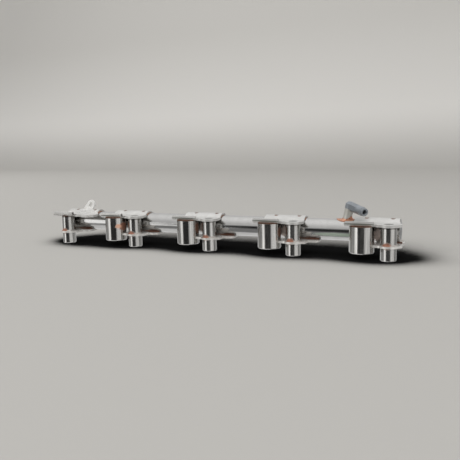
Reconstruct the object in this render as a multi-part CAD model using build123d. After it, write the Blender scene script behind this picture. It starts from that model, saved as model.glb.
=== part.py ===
from build123d import *
import os
from math import cos, radians, sin, sqrt

# High-pressure fuel rail of a four-cylinder direct-injection engine, brazed steel, in millimetres.
# Origin: centre of the foot of the middle bolt sleeve, on the mounting plane z = 0.
# +X runs along the rail towards the inlet end, +Y back from the bolt line to the tube, +Z up.

# ---------------------------------------------------------------- driving sizes
bolt_pitch = 96.0          # between neighbouring mounting bolts
bolt_count = 5
middle_bolt = 2            # index of the bolt that carries the origin

sleeve_od = 15.4
sleeve_bore = 8.8          # clears an M8 bolt
sleeve_length = 33.0       # foot to bracket seat
sleeve_chamfer = 0.6

tube_od = 22.0
tube_wall = 3.2
tube_gap = 1.1             # clear space between a sleeve and the tube
crest_rise = 3.7           # tube crest above the bracket seat
tube_overhang = 0.6        # tube past the outermost saddles

cup_od = 24.4
cup_offset = 25.7          # cup axis to the left of its bolt
cup_saddle_depth = 2.4     # how deep the cup is notched over the tube
cup_mouth_height = 6.7     # mouth of the cup above the mounting plane
cup_edge = 0.8
seal_bore = 14.0           # takes the injector's seal
seal_depth = 16.0
mouth_flare = 1.6          # lead-in chamfer at the mouth
chamber_bore = 7.0
chamber_roof = 4.5         # metal over the chamber
feed_bore = 3.5            # cross drilling from the tube

upper_sheet = 2.5
saddle_wrap = 62.0         # degrees that a saddle wraps behind the crest
bend_radius = 3.0          # inside radius where the saddle turns into the pad
flange_ledge = 5.2         # flange face behind the front of the cup
flange_height = 5.2        # flange top above the bracket seat
flange_bend = 1.2          # inside radius of the upturned flange
flange_left = 16.3         # flange past the cup axis, left
flange_right = 12.7        # flange past the cup axis, right
flange_corner = 2.2
saddle_left = 9.8          # saddle past the cup axis, left
saddle_right = 8.4         # saddle past the bolt axis, right
lobe_margin = 1.9          # sheet round a sleeve
lobe_flare = 2.2           # pad wider than the saddle at the right of the bolt
last_flare = 4.2           # the same on the last bracket
first_flare = 8.6          # the same on the first bracket, whose lobe carries no bolt
first_lobe_radius = 11.3
first_lobe_shift = 7.5     # to the right of where its bolt would be
relief_width = 1.9         # bend relief at the right end of the flange
relief_depth = 4.2
window_width = 4.2         # round-ended brazing windows over the crest
window_length = 8.6
window_shift = 1.7         # to the right of the cup and of the bolt
hole_clearance = 0.1       # bracket holes over the sleeve bore, on the radius

lower_sheet = 2.2
cradle_depth = 0.3         # tube sunk into the lower bracket
rear_margin = 4.6          # lower bracket behind the cradle
shoulder_front = 5.0       # front edge of the lower bracket beside the cup, ahead of the bolt line
cup_hug = 0.7              # how far the lower bracket wraps round the cup
first_left = 8.0           # left end of the first lower bracket past its bolt axis
shoulder_right = 13.6      # right shoulder of a lower bracket past the bolt axis
shoulder_back = 6.6        # its rear end behind the bolt line
tongue_reach = 25.0        # tongue past the bolt axis
tongue_front = 7.4         # front edge of the tongue behind the bolt line
tongue_corner = 6.5        # rounding of its end
tongue_taper = 3.5         # end of the tongue drawn in at the back
last_reach = 12.4          # right reach of the last lower bracket

ear_width = 10.4           # eyelet for a harness clip
ear_rise = 5.6             # centre of its rounded end above the crest of the saddle
ear_shift = -11.0          # the same centre from the free lobe axis of the first bracket
ear_foot = 13.6            # width at the foot
ear_foot_shift = -6.7      # middle of the foot from the rounded end
ear_drop = 2.2             # foot below the crest of the saddle
ear_lean = 39.0            # degrees from upright
eyelet_width = 3.4         # slotted hole along the ear
eyelet_length = 7.4
eyelet_back = 0.7          # hole towards the foot
ear_back = 6.6             # front face of the ear behind the crest
ear_bend = 1.6

plug_length = 8.0

post_od = 8.8
post_lean = 13.0           # degrees towards the inlet end
post_rise = 13.9           # crest to the centre of the fitting, along the post
post_from_last_bolt = 44.7
post_bore = 4.0
post_depth = 4.0           # post carried down beside the crest before it is notched over the tube
barrel_od = 9.6            # upright barrel of the fitting, over the post
barrel_up = 4.6            # its top above the centre of the fitting
barrel_down = 2.6          # its foot below the centre
barrel_chamfer = 2.3
hex_size = 8.2             # across flats
hex_front = 14.2           # hexagon in front of the post axis
hex_chamfer = 0.5
nozzle_swing = 43.0        # degrees towards the front of the rail
thread_od = 9.0
thread_length = 8.6
thread_chamfer = 0.6
seat_od = 8.0              # conical sealing end
seat_length = 2.4
nozzle_bore = 4.4
nozzle_flare = 0.5

braze_leg = 1.3            # size of a brazed fillet
ring_leg = 1.0             # the same round a sleeve
end_leg = 0.9              # the same at the ends of a saddle
post_braze = 3.0           # radius of the fillet at the foot of the inlet post
puddle_length = 19.6       # filler run out round it on the tube
puddle_width = 13.0
puddle_rise = 0.5
puddle_shift = -0.6        # from the foot of the post
window_fill = 0.4          # filler below the outside of a window

# ---------------------------------------------------------------- places that follow
sleeve_radius = sleeve_od / 2
tube_radius = tube_od / 2
tube_bore = tube_od - 2 * tube_wall
cup_radius = cup_od / 2
seat = sleeve_length
tube_y = sleeve_radius + tube_gap + tube_radius
tube_z = seat + crest_rise - tube_radius
cup_y = tube_y - tube_radius - cup_radius + cup_saddle_depth
saddle_radius = tube_radius + upper_sheet
saddle_top = tube_z + saddle_radius
flange_y = cup_y - cup_radius + flange_ledge
lobe_radius = sleeve_radius + lobe_margin
lower_top = tube_z - tube_radius + cradle_depth
lower_bottom = lower_top - lower_sheet


at_foot = (Align.CENTER, Align.CENTER, Align.MIN)


def bolt_x(index):
    return (index - middle_bolt) * bolt_pitch


def cup_x(index):
    return bolt_x(index) - cup_offset


def stamping_x(index):
    """Axis of the lobe of an upper bracket. The first one sits a cup's offset further right."""
    return bolt_x(index) + (cup_offset if index == 0 else 0)


tube_left = stamping_x(0) - cup_offset - saddle_left - tube_overhang
tube_right = bolt_x(bolt_count - 1) + saddle_right + tube_overhang


def disc(x, y, z, radius, height):
    """Upright cylinder standing on z."""
    return Pos(x, y, z) * Cylinder(radius, height, align=at_foot)


def bar_x(x0, x1, y, z, radius):
    """Cylinder along X."""
    return Pos(x0, y, z) * Rot(0, 90, 0) * Cylinder(radius, x1 - x0, align=at_foot)


def tube_solid(x0, x1, growth=0.0):
    return bar_x(x0, x1, tube_y, tube_z, tube_radius + growth)


def on_tube(degrees, radius):
    """Point of the YZ section, an angle behind the crest."""
    return (tube_y + radius * sin(radians(degrees)), tube_z + radius * cos(radians(degrees)))


def section(face, x0, x1):
    """A face drawn in (y, z) made into a solid from x0 to x1."""
    return extrude(Plane.YZ.offset(x0) * face, x1 - x0)


# ---------------------------------------------------------------- tube, plugs, sleeves, cups
def main_tube():
    body = tube_solid(tube_left, tube_right) - bar_x(tube_left, tube_right, tube_y, tube_z, tube_bore / 2)
    for index in range(1, bolt_count):
        body -= feed_drilling(index)
    return body - post_drilling()


def feed_drilling(index):
    """Cross drilling from the chamber of a cup into the tube."""
    start = Pos(cup_x(index), cup_y, tube_z) * Rot(-90, 0, 0)
    return start * Cylinder(feed_bore / 2, tube_y - cup_y, align=at_foot)


def end_plug(x_face, inward):
    """Plug brazed into an end of the tube; inward is +1 at the left end and -1 at the right end."""
    plug = Cylinder(tube_bore / 2, plug_length, align=at_foot)
    return Pos(x_face, tube_y, tube_z) * Rot(0, 90 * inward, 0) * plug


def bolt_sleeve(index):
    body = disc(0, 0, 0, sleeve_radius, sleeve_length) - disc(0, 0, 0, sleeve_bore / 2, sleeve_length)
    rim = body.faces().sort_by(Axis.Z)[0].edges().sort_by(SortBy.RADIUS)[-1]
    return Pos(bolt_x(index), 0, 0) * chamfer(rim, sleeve_chamfer)


def injector_cup(index):
    """Turned cup, open at the bottom, notched at the back where it is brazed to the tube."""
    r_seal, r_chamber, r_mouth = seal_bore / 2, chamber_bore / 2, seal_bore / 2 + mouth_flare
    z_mouth, z_seal, z_roof = cup_mouth_height, cup_mouth_height + seal_depth, seat - chamber_roof
    wall = Polyline(
        (r_mouth, z_mouth),
        (cup_radius - cup_edge, z_mouth),
        (cup_radius, z_mouth + cup_edge),
        (cup_radius, seat),
        (0, seat),
        (0, z_roof),
        (r_chamber, z_roof),
        (r_chamber, z_seal),
        (r_seal, z_seal),
        (r_seal, z_mouth + mouth_flare),
        close=True,
    )
    cup = revolve(make_face(Plane.XZ * wall), Axis.Z)
    cup = Pos(cup_x(index), cup_y, 0) * cup
    return cup - tube_solid(tube_left, tube_right) - feed_drilling(index)


# ---------------------------------------------------------------- upper brackets
def saddle_section(flanged):
    """YZ section of the stamping: saddle over the tube, front bend, pad, and the upturned flange."""
    bend_z = seat + upper_sheet + bend_radius
    bend_reach = saddle_radius + bend_radius
    bend_y = tube_y - sqrt(bend_reach**2 - (bend_z - tube_z) ** 2)
    lean = (tube_y - bend_y) / bend_reach, (bend_z - tube_z) / bend_reach
    outer_rear, inner_rear = on_tube(saddle_wrap, saddle_radius), on_tube(saddle_wrap, tube_radius)
    outer_front = tube_y - saddle_radius * lean[0], tube_z + saddle_radius * lean[1]
    inner_front = tube_y - tube_radius * lean[0], tube_z + tube_radius * lean[1]
    inner_bend = bend_radius + upper_sheet
    half = sqrt((1 - lean[1]) / 2), sqrt((1 + lean[1]) / 2)
    outer_mid = bend_y + bend_radius * half[0], bend_z - bend_radius * half[1]
    inner_mid = bend_y + inner_bend * half[0], bend_z - inner_bend * half[1]
    top = ThreePointArc(outer_rear, (tube_y, saddle_top), outer_front)
    top_bend = ThreePointArc(outer_front, outer_mid, (bend_y, seat + upper_sheet))
    low_bend = ThreePointArc((bend_y, seat), inner_mid, inner_front)
    under = ThreePointArc(inner_front, (tube_y, tube_z + tube_radius), inner_rear)
    if flanged:
        front = flange_front(bend_y)
    else:
        edge = -lobe_radius - lobe_margin
        seat_top = seat + upper_sheet
        front = [Polyline((bend_y, seat_top), (edge, seat_top), (edge, seat), (bend_y, seat))]
    return make_face([top, top_bend, *front, low_bend, under, Line(inner_rear, outer_rear)])


def flange_front(pad_end):
    """Front of the section where the sheet turns up into a stiffening flange."""
    back, outer = flange_y + upper_sheet, flange_bend + upper_sheet
    top = seat + flange_height
    slant = sqrt(0.5)
    return [
        Line((pad_end, seat + upper_sheet), (back + flange_bend, seat + upper_sheet)),
        ThreePointArc(
            (back + flange_bend, seat + upper_sheet),
            (back + flange_bend * (1 - slant), seat + upper_sheet + flange_bend * (1 - slant)),
            (back, seat + upper_sheet + flange_bend),
        ),
        Polyline(
            (back, seat + upper_sheet + flange_bend), (back, top), (flange_y, top), (flange_y, seat + outer)
        ),
        ThreePointArc(
            (flange_y, seat + outer),
            (flange_y + outer * (1 - slant), seat + outer * (1 - slant)),
            (flange_y + outer, seat),
        ),
        Line((flange_y + outer, seat), (pad_end, seat)),
    ]


def flare_of(index):
    """How far the pad of an upper bracket is wider than its saddle, at the right."""
    if index == 0:
        return first_flare
    return last_flare if index == bolt_count - 1 else lobe_flare


def pad_outline(index):
    """Plan of the stamping about its own lobe axis: flange and saddle on the left, lobe on the right."""
    left, saddle_edge = -cup_offset - flange_left, -cup_offset - saddle_left
    split = -cup_offset + flange_right + relief_width / 2
    rear, pad_y = tube_y + saddle_radius, tube_y - saddle_radius
    flare = flare_of(index)
    lobe = Pos(first_lobe_shift, 0) * lobe_arc(first_lobe_radius) if index == 0 else lobe_arc(lobe_radius)
    rest = Polyline(
        lobe @ 1,
        (saddle_right + flare, 0),
        (saddle_right + flare * 0.7, pad_y),
        (saddle_right, tube_y - saddle_radius / 2),
        (saddle_right, rear),
        (saddle_edge, rear),
        (saddle_edge, pad_y),
        (left, (pad_y + flange_y) / 2),
        (left, flange_y - 1),
        (split, flange_y - 1),
        (split, (lobe @ 0).Y),
        lobe @ 0,
    )
    return make_face([lobe, rest])


def lobe_arc(radius):
    """Front of a lobe round the bolt axis, from left to right."""
    side, front = radius * cos(radians(35)), -radius * sin(radians(35))
    return ThreePointArc((-side, front), (0, -radius), (side, front))


def upright_slot(x, y, width, length, z0, z1):
    """Round-ended slot running along Y, as a solid between two heights."""
    shape = Pos(x, y, z0) * Rot(0, 0, 90) * SlotOverall(length, width)
    return extrude(shape, z1 - z0)


def brazing_windows():
    """Windows over the crest, one above the cup and one above the lobe."""
    xs = (window_shift - cup_offset, window_shift)
    return [upright_slot(x, tube_y, window_width, window_length, tube_z, saddle_top + 1) for x in xs]


def upper_bracket(index):
    """Stamped saddle that ties the tube to a cup and a sleeve; the first one carries the ear."""
    left, flange_end = -cup_offset - flange_left, -cup_offset + flange_right
    split = flange_end + relief_width / 2
    right = first_lobe_shift + first_lobe_radius if index == 0 else saddle_right + flare_of(index)
    body = section(saddle_section(True), left, split) + section(saddle_section(False), split, right)
    body &= extrude(pad_outline(index), saddle_top + 1)
    slot_y = flange_y - relief_depth
    body -= upright_slot(split, slot_y, relief_width, relief_depth * 4, 0, saddle_top + 1)
    for window in brazing_windows():
        body -= window
    hole_x = -cup_offset if index == 0 else 0
    body -= disc(hole_x, 0, 0, sleeve_bore / 2 + hole_clearance, saddle_top)
    tip = body.edges().filter_by(Axis.Y).group_by(Axis.X)[0].sort_by(Axis.Z)[-1]
    body = fillet(tip, flange_corner)
    if index == 0:
        body = with_ear(body)
    return Pos(stamping_x(index), 0, 0) * body


ear_end = Pos(ear_shift, saddle_top + ear_rise) * Rot(0, 0, 90 - ear_lean)


def with_ear(body):
    """Ear of the first bracket: the rear of the sheet, turned up, leaning and pierced."""
    front = tube_y + ear_back
    foot_x, foot_z = ear_shift + ear_foot_shift, saddle_top - ear_drop
    outline = [
        *(ear_end * Circle(ear_width / 2)).edges(),
        Line((foot_x - ear_foot / 2, foot_z), (foot_x + ear_foot / 2, foot_z)),
    ]
    plate = make_hull(outline)
    plate += Pos(foot_x, foot_z) * Rectangle(ear_foot, tube_radius / 2, align=(Align.CENTER, Align.MAX))
    plate -= ear_end * Pos(-eyelet_back, 0) * SlotOverall(eyelet_length, eyelet_width)
    plate = extrude(Plane.XZ.offset(-front) * plate, -upper_sheet)
    behind = Box(ear_foot, tube_radius * 2, tube_od * 2, align=(Align.CENTER, Align.MIN, Align.CENTER))
    body -= Pos(foot_x, front + upper_sheet, tube_z) * behind
    slot_y, slot_length = front + tube_radius, tube_radius * 2 + ear_bend
    for side in (-1, 1):
        x = foot_x + side * (ear_foot + relief_width) / 2
        body -= upright_slot(x, slot_y, relief_width, slot_length, 0, saddle_top + 1)
    return body + (plate - tube_solid(-bolt_pitch, bolt_pitch))


# ---------------------------------------------------------------- lower brackets
def cradle_half():
    """Half width of the groove that the tube lies in."""
    return sqrt(tube_radius**2 - (tube_z - lower_top) ** 2)


def lower_section():
    """YZ section: flat plate with a shallow cradle pressed under the tube."""
    front, rear = -lobe_radius - 1, tube_y + cradle_half() + rear_margin
    low, top = lower_bottom, lower_top
    plate = make_face(Polyline((front, low), (rear, low), (rear, top), (front, top), close=True))
    below = Pos(tube_y, lower_top) * Rectangle(tube_od, tube_od, align=(Align.CENTER, Align.MAX))
    shell = Pos(tube_y, tube_z) * Circle(tube_radius + lower_sheet)
    return plate + (shell & below) - Pos(tube_y, tube_z) * Circle(tube_radius)


def lower_outline(index):
    """Plan of a lower bracket about its bolt axis: shoulder to the cup, lobe, tongue."""
    rear = tube_y + tube_radius
    last = index == bolt_count - 1
    lobe = lobe_arc(lobe_radius)
    right = last_reach if last else tongue_reach
    left = -first_left if index == 0 else -cup_offset + cup_radius - cup_hug
    shoulder = (lobe @ 0).Y if index == 0 else -shoulder_front
    if last:
        edges, points = [], [lobe @ 1, (right, 0)]
    else:
        edges = tongue_edges(lobe @ 1)
        points = [edges[-1] @ 1]
    points += [(right - (0 if last else tongue_taper), rear), (left, rear), (left, shoulder)]
    if index > 0:
        points += [(-lobe_radius * cos(radians(35)) - lobe_margin, shoulder)]
    return make_face([lobe, *edges, Polyline(*points, lobe @ 0)])


def tongue_edges(start):
    """Front of a lower bracket's right side, from its lobe over the shoulder to the tongue's end."""
    front = Polyline(
        start,
        (shoulder_right, start.Y / 2),
        (shoulder_right, shoulder_back),
        (shoulder_right + lobe_margin, tongue_front),
        (tongue_reach - tongue_corner, tongue_front),
    )
    slant = sqrt(0.5)
    side = (
        tongue_reach - tongue_corner * (1 - slant),
        tongue_front + tongue_corner * (1 - slant),
    )
    return [front, ThreePointArc(front @ 1, side, (tongue_reach, tongue_front + tongue_corner))]


def lower_bracket(index):
    body = section(lower_section(), -cup_offset, tongue_reach)
    body &= extrude(lower_outline(index), lower_top)
    body -= disc(0, 0, 0, sleeve_radius, seat)
    if index > 0:
        body -= disc(-cup_offset, cup_y, 0, cup_radius, seat)
    return Pos(bolt_x(index), 0, 0) * body


# ---------------------------------------------------------------- inlet
post_x = bolt_x(bolt_count - 1) - post_from_last_bolt
post_frame = Pos(post_x, tube_y, tube_z + tube_radius) * Rot(0, post_lean, 0)


def fitting_frame():
    """Frame of the inlet fitting: origin on the post axis, Z out of the nozzle."""
    return post_frame * Pos(0, 0, post_rise) * Rot(0, 0, -nozzle_swing) * Rot(0, 90, 0)


def post_bar(top):
    """Solid bar of the post, from inside the tube's outline to a height along its axis."""
    bar = Cylinder(post_od / 2, top + post_depth, align=at_foot)
    return post_frame * Pos(0, 0, -post_depth) * bar


def post_drilling():
    """Drilling from the bore of the tube to the middle of the fitting."""
    low, high = -tube_radius, post_rise
    return post_frame * Pos(0, 0, low) * Cylinder(
        post_bore / 2, high - low, align=at_foot
    )


def hexagon():
    """Hexagonal bar of the fitting, one corner up, from the post axis forward, chamfered in front."""
    bar = extrude(RegularPolygon(hex_size / 2, 6, major_radius=False), hex_front)
    tip_radius = hex_size / 2 + hex_chamfer
    return bar & Cone(tip_radius + hex_front, tip_radius, hex_front, align=at_foot)


def barrel():
    """Upright barrel of the fitting, over the post."""
    height = barrel_up + barrel_down
    body = Cylinder(barrel_od / 2, height, align=at_foot)
    body = chamfer(body.faces().sort_by(Axis.Z)[-1].edges(), barrel_chamfer)
    return post_frame * Pos(0, 0, post_rise - barrel_down) * body


def inlet_post():
    """Turned post, notched over the tube at the foot, under the barrel and the hexagon at the top."""
    body = post_bar(post_rise - barrel_down) - tube_solid(tube_left, tube_right)
    return body - fitting_frame() * hexagon() - post_drilling()


def inlet_fitting():
    """Barrel, hexagon, male thread blank and sealing end in one piece, the fuel bore through it."""
    z2 = hex_front + thread_length
    z3 = z2 + seat_length
    shape = Polyline(
        (0, hex_front),
        (thread_od / 2, hex_front),
        (thread_od / 2, z2 - thread_chamfer),
        (thread_od / 2 - thread_chamfer, z2),
        (seat_od / 2, z3),
        (nozzle_bore / 2 + nozzle_flare, z3),
        (nozzle_bore / 2, z3 - nozzle_flare),
        (0, z3 - nozzle_flare),
        close=True,
    )
    body = barrel() + fitting_frame() * (hexagon() + revolve(make_face(Plane.XZ * shape), Axis.Z))
    body -= fitting_frame() * Cylinder(nozzle_bore / 2, z3, align=at_foot)
    return body - post_drilling()


# ---------------------------------------------------------------- brazed fillets
def saddle_end_fillet(x):
    """Fillet on the tube beside the right end of a saddle."""
    cone = Cone(tube_radius + end_leg, tube_radius + 0.05, end_leg, align=at_foot)
    cone = Pos(x, tube_y, tube_z) * Rot(0, 90, 0) * cone
    far = tube_od
    reach = make_face(
        Polyline(
            (tube_y, tube_z),
            on_tube(-34, far),
            on_tube(0, far * 2),
            on_tube(saddle_wrap, far),
            close=True,
        )
    )
    sector = section(reach, x - end_leg * 2, x + end_leg * 2)
    return (cone & sector) - tube_solid(x - bolt_pitch, x + bolt_pitch)


def ledge_fillet(radius, y):
    """Filler between the top of a cup or sleeve and the turned-up flange, about its own axis."""
    outer = flange_bend + upper_sheet
    axis_y, axis_z = flange_y + outer, seat + outer
    swing = radians(50)
    tip = axis_y - outer * cos(swing), axis_z - outer * sin(swing)
    wedge = make_face(Polyline((axis_y, seat), (flange_y - braze_leg, seat), tip, close=True))
    wedge -= Pos(axis_y, axis_z) * Circle(outer)
    solid = section(wedge, -flange_right, flange_right)
    return solid & disc(0, y, 0, radius - cup_edge / 2, saddle_top)


def ring_fillet(radius, z):
    """Triangular ring round an upright cylinder, sitting on a plate at z."""
    shape = Polyline((radius, z), (radius + ring_leg, z), (radius, z + ring_leg * 1.2), close=True)
    return revolve(make_face(Plane.XZ * shape), Axis.Z)


def seam(side):
    """YZ section of the filler between the tube and the lower bracket, in front (-1) or behind (1)."""
    edge = tube_y + side * cradle_half()
    turn = radians(35)
    wedge = Polyline(
        (edge, lower_top),
        (edge + side * braze_leg * 2, lower_top),
        (tube_y + side * tube_radius * sin(turn), tube_z - tube_radius * cos(turn)),
        close=True,
    )
    return make_face(wedge) - Pos(tube_y, tube_z) * Circle(tube_radius)


def upper_braze(index):
    """Filler round an upper bracket: windows, saddle ends and the seat of the cup or first sleeve."""
    x = stamping_x(index)
    parts = []
    shell = bar_x(-bolt_pitch, bolt_pitch, tube_y, tube_z, saddle_radius - window_fill)
    for window in brazing_windows():
        parts.append((window & shell) - tube_solid(-bolt_pitch, bolt_pitch))
    if index > 0:
        parts.append(Pos(-cup_offset, 0, 0) * ledge_fillet(cup_radius, cup_y))
    else:
        parts.append(Pos(-cup_offset, 0, 0) * ledge_fillet(sleeve_radius, 0))
    if index < bolt_count - 1:
        parts.append(saddle_end_fillet(saddle_right))
    return Pos(x, 0, 0) * Compound(children=[piece for part in parts for piece in part.solids()])


def lower_braze(index):
    """Filler on a lower bracket: ring round the sleeve and a seam on each side of the tube."""
    right = (last_reach if index == bolt_count - 1 else tongue_reach) - braze_leg
    left = (-first_left if index == 0 else -cup_offset + cup_radius - cup_hug) + braze_leg
    parts = [ring_fillet(sleeve_radius, lower_top)]
    parts += [section(seam(side), left, right) for side in (-1, 1)]
    return Pos(bolt_x(index), 0, 0) * Compound(children=[piece for part in parts for piece in part.solids()])


def post_fillet():
    """Filler ring where the post meets the tube, up against the last upper bracket."""
    around = post_od * 2
    tube = tube_solid(post_x - around, post_x + around)
    post = post_bar(post_rise)
    joined = tube + post
    joint = joined.edges().filter_by(lambda edge: edge.geom_type not in (GeomType.LINE, GeomType.CIRCLE))
    puddle = extrude(
        Pos(post_x + puddle_shift, tube_y, tube_z) * Ellipse(puddle_length / 2, puddle_width / 2), tube_od
    )
    puddle &= tube_solid(post_x - around, post_x + around, puddle_rise)
    filler = (fillet(joint, post_braze) - tube) + (puddle - tube)
    return filler - post - upper_bracket(bolt_count - 1)


# ---------------------------------------------------------------- files
def nodes():
    """Every sub-part by name."""
    found = {
        "main_tube": main_tube(),
        "end_plug_left": end_plug(tube_left, 1),
        "end_plug_right": end_plug(tube_right, -1),
        "inlet_post": inlet_post(),
        "inlet_fitting": inlet_fitting(),
        "braze_inlet": post_fillet(),
    }
    for index in range(bolt_count):
        number = index + 1
        found[f"bolt_sleeve_{number}"] = bolt_sleeve(index)
        found[f"upper_bracket_{number}"] = upper_bracket(index)
        found[f"lower_bracket_{number}"] = lower_bracket(index)
        found[f"braze_upper_{number}"] = upper_braze(index)
        found[f"braze_lower_{number}"] = lower_braze(index)
        if index > 0:
            found[f"injector_cup_{index}"] = injector_cup(index)
    return found


os.makedirs("parts", exist_ok=True)
for name, shape in nodes().items():
    export_step(shape, f"parts/{name}.step")
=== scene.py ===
"""Fuel rail: finishes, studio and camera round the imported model. Metres, in the frame of the part."""
import math

import bpy
from mathutils import Matrix, Vector


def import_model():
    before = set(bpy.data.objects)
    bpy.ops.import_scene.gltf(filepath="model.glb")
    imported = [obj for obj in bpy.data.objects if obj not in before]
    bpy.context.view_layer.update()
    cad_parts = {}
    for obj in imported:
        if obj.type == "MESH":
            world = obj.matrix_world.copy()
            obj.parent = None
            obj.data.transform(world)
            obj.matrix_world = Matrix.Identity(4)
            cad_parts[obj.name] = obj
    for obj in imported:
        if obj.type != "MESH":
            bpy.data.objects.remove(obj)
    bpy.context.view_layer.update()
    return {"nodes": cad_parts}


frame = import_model()
nodes = frame["nodes"]

# ---------------------------------------------------------------- places taken from the model, metres
PITCH = 0.096
BOLTS = [(i - 2) * PITCH for i in range(5)]
CUP_OFFSET = 0.0257  # a cup's axis to the left of its bolt
CUPS = [x - CUP_OFFSET for x in BOLTS[1:]]
TUBE_FRONT = 0.0198 - 0.0110  # tube's axis less its radius
SEAT = 0.033  # height of the brackets' seat on the sleeves
PLATE_TOP = 0.0150  # top of the lower brackets
FLANGE_FRONT = -0.0089  # front face of the upturned flange
RELIEF = (-0.0113, -0.0065, 0.0368)  # bend relief, from its bolt


# ---------------------------------------------------------------- shader helpers
class Graph:
    """A node tree under construction: every method adds one node and returns its output socket."""

    def __init__(self, tree, coordinate):
        self.tree = tree
        self.place = self.node("ShaderNodeTexCoord").outputs[coordinate]

    def node(self, kind, **settings):
        made = self.tree.nodes.new(kind)
        for key, value in settings.items():
            setattr(made, key, value)
        return made

    def feed(self, socket, value):
        if isinstance(value, bpy.types.NodeSocket):
            self.tree.links.new(value, socket)
        else:
            socket.default_value = value

    def math(self, operation, *values):
        made = self.node("ShaderNodeMath", operation=operation)
        for socket, value in zip(made.inputs, values):
            self.feed(socket, value)
        return made.outputs[0]

    def noise(self, scale, detail=3.0, roughness=0.55, stretch=(1, 1, 1), shift=(0, 0, 0)):
        mapping = self.node("ShaderNodeMapping")
        self.feed(mapping.inputs["Vector"], self.place)
        mapping.inputs["Scale"].default_value = stretch
        mapping.inputs["Location"].default_value = shift
        made = self.node("ShaderNodeTexNoise")
        self.feed(made.inputs["Vector"], mapping.outputs[0])
        made.inputs["Scale"].default_value = scale
        made.inputs["Detail"].default_value = detail
        made.inputs["Roughness"].default_value = roughness
        return made.outputs["Fac"]

    def ramp(self, value, low, high, out_low=0.0, out_high=1.0):
        made = self.node("ShaderNodeMapRange", interpolation_type="SMOOTHSTEP")
        for key, number in (("From Min", low), ("From Max", high), ("To Min", out_low), ("To Max", out_high)):
            made.inputs[key].default_value = number
        self.feed(made.inputs["Value"], value)
        return made.outputs[0]

    def mix(self, factor, first, second):
        made = self.node("ShaderNodeMix", data_type="RGBA")
        self.feed(made.inputs["Factor"], factor)
        self.feed(made.inputs[6], (*first, 1) if isinstance(first, tuple) else first)
        self.feed(made.inputs[7], (*second, 1) if isinstance(second, tuple) else second)
        return made.outputs[2]

    def blend(self, factor, first, second):
        made = self.node("ShaderNodeMix", data_type="FLOAT")
        self.feed(made.inputs["Factor"], factor)
        self.feed(made.inputs[2], first)
        self.feed(made.inputs[3], second)
        return made.outputs[0]

    def axes(self):
        made = self.node("ShaderNodeSeparateXYZ")
        self.feed(made.inputs[0], self.place)
        return made.outputs

    def near(self, point, radius, soft, ragged=0.0, stretch=(1, 1, 1)):
        """1 inside an ellipsoid about a point, falling to 0 over soft, with a ragged edge."""
        offset = self.node("ShaderNodeVectorMath", operation="SUBTRACT")
        self.feed(offset.inputs[0], self.place)
        offset.inputs[1].default_value = point
        scaled = self.node("ShaderNodeVectorMath", operation="MULTIPLY")
        self.feed(scaled.inputs[0], offset.outputs[0])
        scaled.inputs[1].default_value = stretch
        length = self.node("ShaderNodeVectorMath", operation="LENGTH")
        self.feed(length.inputs[0], scaled.outputs[0])
        distance = length.outputs["Value"]
        if ragged:
            wobble = self.math("SUBTRACT", self.noise(420, 4, shift=(point[0], 0.3, 0.7)), 0.5)
            distance = self.math("MULTIPLY_ADD", wobble, ragged, distance)
        return self.ramp(distance, radius, radius + soft, 1.0, 0.0)

    def band_noise(self, value, scale):
        """Uneven bands along one value."""
        made = self.node("ShaderNodeTexNoise", noise_dimensions="1D")
        self.feed(made.inputs["W"], value)
        made.inputs["Scale"].default_value = scale
        made.inputs["Detail"].default_value = 3.0
        return made.outputs["Fac"]


class Shader(Graph):
    """A Principled material, textured by place on the part."""

    FILM_ROUGHNESS, FILM_METALLIC, FILM_COVER = 0.42, 0.35, 0.9

    def __init__(self, name):
        self.material = bpy.data.materials.new(name)
        self.material.use_nodes = True
        super().__init__(self.material.node_tree, "Object")
        self.principled = self.tree.nodes["Principled BSDF"]

    def bump(self, height, distance, strength=1.0, normal=None):
        made = self.node("ShaderNodeBump")
        made.inputs["Strength"].default_value = strength
        made.inputs["Distance"].default_value = distance
        self.feed(made.inputs["Height"], height)
        if normal:
            self.feed(made.inputs["Normal"], normal)
        return made.outputs[0]

    def stain(self, color, rough, metallic, marks, on_top=False):
        """Lay each mark over a colour as a duller, less metallic film: copper and brown residue, and on some
        parts painted shade, painted light and a painted reflection. On top: only where it faces up.
        """
        for point, size, tint, ragged, stretch in marks:
            amount = self.near(point, size * 0.6, size * 0.5, ragged, stretch)
            if on_top:
                normal = self.node("ShaderNodeSeparateXYZ")
                self.feed(normal.inputs[0], self.node("ShaderNodeNewGeometry").outputs["True Normal"])
                amount = self.math("MULTIPLY", amount, self.ramp(normal.outputs[2], 0.6, 0.9))
            color = self.mix(self.math("MULTIPLY", amount, self.FILM_COVER), color, tint)
            rough = self.blend(amount, rough, self.FILM_ROUGHNESS)
            metallic = self.blend(amount, metallic, self.FILM_METALLIC)
        return color, rough, metallic

    def occlusion(self, normal, distance):
        """1 in the open, falling where things stand within a distance on the normal's side."""
        made = self.node("ShaderNodeAmbientOcclusion", samples=32)
        made.inputs["Distance"].default_value = distance
        self.feed(made.inputs["Normal"], normal)
        return made.outputs["AO"]

    def tilted(self, normal, lean):
        """A normal leaned towards a direction."""
        added = self.node("ShaderNodeVectorMath", operation="ADD")
        self.feed(added.inputs[0], normal)
        added.inputs[1].default_value = lean
        unit = self.node("ShaderNodeVectorMath", operation="NORMALIZE")
        self.feed(unit.inputs[0], added.outputs[0])
        return unit.outputs[0]

    def finish(self, color, roughness, metallic=1.0, normal=None, brushed=0.0):
        """Set the surface; brushed above 0 spreads its highlights along the grain."""
        p = self.principled.inputs
        p["Anisotropic"].default_value = brushed
        p["Anisotropic Rotation"].default_value = 0.25
        self.feed(p["Base Color"], (*color, 1) if isinstance(color, tuple) else color)
        self.feed(p["Roughness"], roughness)
        self.feed(p["Metallic"], metallic)
        if normal:
            self.feed(p["Normal"], normal)
        return self.material


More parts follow.
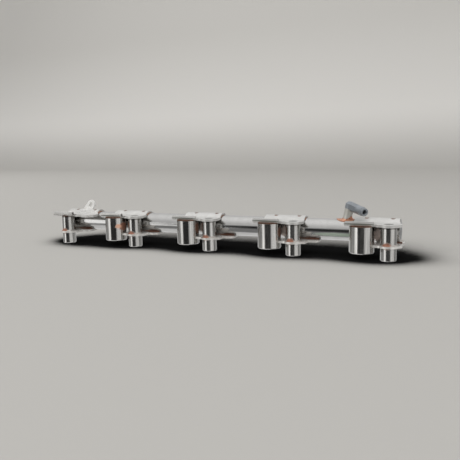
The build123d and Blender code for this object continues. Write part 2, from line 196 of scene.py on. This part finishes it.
def linear(r, g, b):
    """sRGB 0..255 to linear."""
    shares = (r / 255, g / 255, b / 255)
    return tuple(c / 12.92 if c <= 0.04045 else ((c + 0.055) / 1.055) ** 2.4 for c in shares)


# ---------------------------------------------------------------- finishes
# copper whose light tone is a painted highlight on the first cup's smear
COPPER_PAINTED_HIGHLIGHT = linear(232, 180, 152)
COPPER_BROWN = linear(156, 100, 74)
COPPER_DARK = linear(150, 98, 74)
BROWN = linear(128, 84, 62)
# a pale pinkish film on the tube's front between each cup and its sleeve
PALE_FILM = linear(216, 198, 188)
# painted reflection: a green band on the tube
PAINTED_GREEN_REFLECTION = linear(180, 194, 178)
SPECKLE = linear(120, 116, 110)
# painted shade: the dark line along the upturned flanges
PAINTED_FLANGE_SHADE = linear(104, 108, 100)
# painted light: a pale patch over the first bracket's ear
PAINTED_LIGHT = linear(240, 239, 236)
# painted shade: dark spots in the bend reliefs, a small streak on a cup and the band under the sleeve seats
PAINTED_SHADE = linear(58, 44, 38)


def satin_steel(name, light, dark, roughness, metallic=1.0, marks=(), speckle=0.0, on_top=False):
    """Blasted or tumbled steel: cloudy tone, fine grain, brazing copper and films at the marks, with painted
    shade on the brackets, painted light on the first bracket's ear and a painted reflection on the tube.
    """
    s = Shader(name)
    cloud = s.ramp(s.noise(90, 5), 0.35, 0.7)
    color = s.mix(cloud, dark, light)
    if speckle:
        spots = s.ramp(s.noise(900, 3, shift=(0.4, 0.1, 0)), 0.52, 0.66, 0, speckle)
        color = s.mix(spots, color, SPECKLE)
    rough = s.blend(cloud, roughness + 0.04, roughness - 0.03)
    color, rough, metallic = s.stain(color, rough, metallic, marks, on_top)
    return s.finish(color, rough, metallic, s.bump(s.noise(2600, 2), 0.00008, 0.35))


def turned_steel(name, tone, roughness, marks=(), painted_seat_shade=False):
    """Polished turned steel: fine rings round the upright axis, streaks along it, heat tint and copper at the
    marks, on the cups also a painted highlight and a small painted shade; when asked, a band of painted shade
    just under the bracket seat.
    """
    s = Shader(name)
    rings = s.noise(1500, 2, stretch=(0.02, 0.02, 3.0))
    streaks = s.noise(420, 3, stretch=(1, 1, 0.05))
    color = s.mix(s.ramp(streaks, 0.3, 0.75), tuple(0.7 * c for c in tone), tone)
    rough = s.blend(s.ramp(s.noise(140, 3, stretch=(1, 1, 0.25)), 0.35, 0.75), roughness, roughness + 0.1)
    color, rough, metallic = s.stain(color, rough, 1.0, marks)
    if painted_seat_shade:
        # painted shade: a dark band round the sleeve just under the bracket seat
        under = s.ramp(s.axes()[2], SEAT - 0.0022, SEAT - 0.0004)
        color = s.mix(s.math("MULTIPLY", under, 0.75), color, PAINTED_SHADE)
    normal = s.bump(rings, 0.00003, 0.25, s.bump(streaks, 0.0001, 0.3))
    return s.finish(color, rough, metallic, normal, brushed=0.5)


def brazed_copper(name, light, dark):
    """Filler metal: mottled, slightly wrinkled copper."""
    s = Shader(name)
    mottle = s.ramp(s.noise(500, 4), 0.35, 0.68)
    rough = s.blend(mottle, 0.5, 0.36)
    return s.finish(s.mix(mottle, dark, light), rough, 0.85, s.bump(s.noise(1300, 3), 0.00012, 0.5))


def stain(x, y, z, size, color, ragged=0.004, stretch=(1, 1, 1)):
    return (x, y, z), size, color, ragged, stretch


def row(places, x, y, z, *look):
    """The same mark at several places along the rail, offset by x from each; some rows are painted shade."""
    return [stain(place + x, y, z, *look) for place in places]


cup_marks_shade_and_highlight = [
    stain(CUPS[0] + 0.012, -0.0025, 0.023, 0.0072, COPPER_DARK, 0.008, (1, 1, 1.2)),
    # the first cup's copper smear, its light part a painted highlight
    stain(CUPS[0] + 0.0085, -0.0085, 0.0238, 0.0044, COPPER_PAINTED_HIGHLIGHT, 0.005, (1, 1, 1.5)),
    stain(CUPS[1] + 0.0122, -0.0018, 0.0245, 0.0056, BROWN, 0.006, (1.2, 1, 0.7)),
    # painted shade: a small dark streak on the second cup's side towards its sleeve
    stain(CUPS[1] + 0.0112, -0.004, 0.019, 0.0018, PAINTED_SHADE, 0.003, (1, 1, 0.6)),
    stain(CUPS[2] + 0.0122, -0.0024, 0.024, 0.005, BROWN, 0.006, (1.2, 1, 0.7)),
    stain(CUPS[3] + 0.0125, 0.001, 0.018, 0.005, BROWN, 0.005, (1.2, 1, 0.6)),
]
sleeve_stains = row(BOLTS, -0.001, -0.0077, PLATE_TOP + 0.0002, 0.0038, COPPER_BROWN, 0.004, (0.7, 1, 1))

# painted reflection: a thin green band along the tube's lower front between the fourth and fifth sleeve
tube_films_and_reflection = [stain(0.138, 0.0094, 0.0216, 0.0026, PAINTED_GREEN_REFLECTION, 0.0, (0.1, 1, 1))]
# a pale pinkish film on the tube's front between each cup and its sleeve
tube_films_and_reflection += row(BOLTS[1:], -0.0125, TUBE_FRONT, 0.022, 0.007, PALE_FILM, 0.008, (1.6, 1, 0.7))

plate_stains = row(BOLTS, 0.016, 0.013, PLATE_TOP, 0.0016, BROWN, 0.002, (0.2, 1, 1))
plate_stains += row(BOLTS, -0.002, -0.006, PLATE_TOP, 0.0055, COPPER_BROWN, 0.004)

ring_stains = row(BOLTS, -0.0015, -0.008, PLATE_TOP, 0.0052, COPPER_BROWN, 0.004)
ring_stains += row(BOLTS, 0.016, 0.0122, 0.0158, 0.0036, BROWN, 0.001, (0.2, 1, 1))

# painted shade: a dark spot in each bend relief, and a dark line along each upturned flange of brackets 2 to
# 5
saddle_painted_shade = row(BOLTS[1:2], *RELIEF, 0.0032, PAINTED_SHADE, 0.001)
saddle_painted_shade += row(BOLTS[1:], -0.0275, FLANGE_FRONT, SEAT + 0.0027, 0.001, PAINTED_FLANGE_SHADE, 0.0, (0.05, 0.3, 1))
saddle_painted_shade += row(BOLTS[2:], *RELIEF, 0.0015, PAINTED_SHADE, 0.001, (1, 1, 0.6))

# painted shade in the first bracket's bend relief, and a painted light patch over its ear
first_painted_light_and_shade = row([BOLTS[0] + CUP_OFFSET], *RELIEF, 0.0032, PAINTED_SHADE, 0.001)
first_painted_light_and_shade += [stain(-0.180, 0.0278, 0.0455, 0.0145, PAINTED_LIGHT, 0.0)]

copper = brazed_copper("Braze", linear(240, 186, 156), linear(150, 92, 68))
dark_copper = brazed_copper("BrazeDark", linear(162, 120, 98), linear(112, 86, 72))
saddle = satin_steel("Stamped", linear(210, 209, 206), linear(199, 198, 195), 0.38, 0.4, saddle_painted_shade)
blasted = satin_steel("Blasted", linear(213, 212, 209), linear(199, 198, 195), 0.5, 0.15, first_painted_light_and_shade, 0.8)
tube = satin_steel("Tube", linear(196, 195, 193), linear(190, 189, 187), 0.1, 1.0, tube_films_and_reflection)
plate = satin_steel(
    "Plate", linear(232, 230, 226), linear(214, 210, 205), 0.35, 0.4, plate_stains, on_top=True
)
cup_finish = turned_steel("Cup", linear(210, 208, 204), 0.16, cup_marks_shade_and_highlight)
sleeve_finish = turned_steel("Sleeve", linear(212, 210, 206), 0.18, sleeve_stains, painted_seat_shade=True)
ring = satin_steel("Ring", linear(196, 192, 187), linear(172, 164, 157), 0.35, 0.6, ring_stains)
post_finish = satin_steel("Post", linear(206, 205, 200), linear(190, 188, 180), 0.4, 0.5)
fitting_finish = satin_steel("Fitting", linear(158, 163, 168), linear(138, 143, 148), 0.34, 0.7)
plug_finish = satin_steel("Plug", linear(180, 180, 178), linear(160, 160, 158), 0.4)

FINISHES = {
    "main_tube": tube,
    "end_plug": plug_finish,
    "injector_cup": cup_finish,
    "bolt_sleeve": sleeve_finish,
    "upper_bracket_1": blasted,
    "upper_bracket": saddle,
    "lower_bracket": plate,
    "inlet_post": post_finish,
    "inlet_fitting": fitting_finish,
    "braze_inlet": copper,
    "braze_lower": ring,
    "braze": dark_copper,
}
for name, piece in nodes.items():
    finish = next(material for start, material in FINISHES.items() if name.startswith(start))
    for index in range(max(1, len(piece.material_slots))):
        if piece.material_slots:
            piece.material_slots[index].material = finish
        else:
            piece.data.materials.append(finish)


# ---------------------------------------------------------------- studio
BACKGROUND, BACKDROP = linear(179, 177, 173), linear(221, 219, 215)
SHADE = linear(22, 22, 22)
SKY_LOW, SKY_HIGH, GROUND, GROUND_LEFT = 0.5, 1.1, 0.26, 0.8
EMPTY = 0.56  # level that the camera sees past the backdrop
# level of the room at eye height, from the angle at which it starts: 0 is in front, 90 at the inlet's end
ROOM = [(-180, 0.9), (-132, 0.36), (-56, 1.4), (-29, 0.09), (36, 0.85), (98, 0.2), (128, 0.85)]
ROOM_HEIGHT, ROOM_EDGE = -8.0, 5


def sweep_mesh():
    """Floor that curves up into a backdrop."""
    depth, radius, wide, front, top, steps = 2.2, 0.9, 20.0, -20.0, 5.0, 24
    profile = [(front, 0.0), (depth, 0.0)]
    for step in range(1, steps + 1):
        turn = math.pi / 2 * step / steps
        profile.append((depth + radius * math.sin(turn), radius * (1 - math.cos(turn))))
    profile.append((depth + radius, top))
    points = [(x, y, z) for y, z in profile for x in (-wide, wide)]
    faces = [(2 * i, 2 * i + 1, 2 * i + 3, 2 * i + 2) for i in range(len(profile) - 1)]
    mesh = bpy.data.meshes.new("Sweep")
    mesh.from_pydata(points, [], faces)
    for face in mesh.polygons:
        face.use_smooth = True
    return mesh


def floor_finish():
    """Pale floor and backdrop, darker for the camera where the part stands close over the floor."""
    s = Shader("Floor")
    middle, full, gone = 0.04, 0.07, 0.14  # the dark patch across the rail: its middle and half widths
    seen = s.node("ShaderNodeLightPath").outputs["Is Camera Ray"]
    normal = s.tilted(s.node("ShaderNodeNewGeometry").outputs["Normal"], (-0.12, -0.38, 0.0))
    shade = s.ramp(s.occlusion(normal, 0.3), 0.8, 0.975, 1.0, 0.0)
    across = s.math("ABSOLUTE", s.math("SUBTRACT", s.axes()[1], middle))
    dark = s.math("MULTIPLY", seen, s.math("MULTIPLY", shade, s.ramp(across, full, gone, 1.0, 0.0)))
    pale = s.mix(s.ramp(s.axes()[2], -0.05, 0.35), BACKGROUND, BACKDROP)
    s.principled.inputs["Specular IOR Level"].default_value = 0.0
    return s.finish(s.mix(dark, pale, SHADE), 0.9, 0.0)


def sweep():
    """Pale floor and backdrop far behind the part, left out of its reflections."""
    floor = bpy.data.objects.new("Floor", sweep_mesh())
    bpy.context.collection.objects.link(floor)
    floor.data.materials.append(floor_finish())
    floor.visible_glossy = False


def softbox(name, place, watts):
    """A large square lamp aimed at the part and unseen in its reflections."""
    lamp = bpy.data.lights.new(name, "AREA")
    lamp.shape = "RECTANGLE"
    lamp.size = lamp.size_y = 1.6
    lamp.energy = watts
    holder = bpy.data.objects.new(name, lamp)
    holder.location = place
    holder.rotation_euler = (-Vector(place)).to_track_quat("-Z", "Y").to_euler()
    holder.visible_glossy = False
    bpy.context.collection.objects.link(holder)


def room_level(g, turn):
    """Walls at eye height, in uneven upright bands."""
    wall = ROOM[0][1]
    for start, level in ROOM[1:]:
        wall = g.blend(g.ramp(turn, start - ROOM_EDGE, start + ROOM_EDGE), wall, level)
    return g.math("MULTIPLY", wall, g.ramp(g.band_noise(turn, 0.13), 0.3, 0.7, 0.6, 1.3))


def dark_edge(g, turn, height):
    """1 on the dark strip in front of the part, just under eye height."""
    across = g.math("MULTIPLY", g.ramp(turn, -31, -26), g.ramp(turn, 30, 36, 1.0, 0.0))
    upright = g.math("MULTIPLY", g.ramp(height, -13.5, -12), g.ramp(height, -1, 1, 1.0, 0.0))
    return g.math("MULTIPLY", across, upright)


def world():
    """Soft room round the part: white overhead, a dark front, white cards left and right of it."""
    made = bpy.data.worlds.new("Studio")
    bpy.context.scene.world = made
    made.use_nodes = True
    g = Graph(made.node_tree, "Generated")
    x, y, z = g.axes()
    turn = g.math("DEGREES", g.math("ARCTAN2", x, g.math("MULTIPLY", y, -1.0)))
    height = g.math("DEGREES", g.math("ARCSINE", z))
    sky = g.ramp(height, -5, 80, SKY_LOW, SKY_HIGH)
    ground = g.ramp(turn, -60, -46, GROUND_LEFT, GROUND)
    open_room = g.blend(g.ramp(height, -22, 2), ground, sky)
    at_wall = g.ramp(g.math("ABSOLUTE", g.math("SUBTRACT", height, ROOM_HEIGHT)), 12, 26, 1.0, 0.0)
    at_front = g.ramp(g.math("ABSOLUTE", turn), 108, 128, 1.0, 0.0)
    level = g.blend(g.math("MULTIPLY", at_wall, at_front), open_room, room_level(g, turn))
    level = g.blend(dark_edge(g, turn, height), level, 0.02)
    seen = g.node("ShaderNodeLightPath").outputs["Is Camera Ray"]
    background = made.node_tree.nodes["Background"]
    background.inputs["Color"].default_value = (1, 1, 1, 1)
    g.feed(background.inputs["Strength"], g.blend(seen, level, EMPTY))


def camera():
    """The camera that took the photograph, from the fit to the sleeves and cups."""
    place = Vector((0.26714, -0.5544, 0.11174))
    azimuth, elevation, roll = (math.radians(v) for v in (23.6, 8.299, -1.183))
    focal_pixels, frame_pixels, sensor = 564.509, 460, 36
    level = math.cos(elevation)
    back = Vector((math.sin(azimuth) * level, -math.cos(azimuth) * level, math.sin(elevation)))
    right = (-back).cross(Vector((0, 0, 1))).normalized()
    up = right.cross(-back)
    turned_right = math.cos(roll) * right + math.sin(roll) * up
    turned_up = -math.sin(roll) * right + math.cos(roll) * up
    data = bpy.data.cameras.new("Camera")
    data.sensor_width = sensor
    data.lens = focal_pixels / frame_pixels * sensor
    data.clip_start, data.clip_end = 0.01, 50
    holder = bpy.data.objects.new("Camera", data)
    turn = Matrix((turned_right, turned_up, back)).transposed()
    holder.matrix_world = Matrix.Translation(place) @ turn.to_4x4()
    bpy.context.collection.objects.link(holder)
    bpy.context.scene.camera = holder


sweep()
world()
softbox("Key", (-2.6, 0.2, 2.1), 26)
softbox("Fill", (0.3, -2.4, 1.5), 22)
camera()
bpy.context.scene.view_settings.view_transform = "Standard"
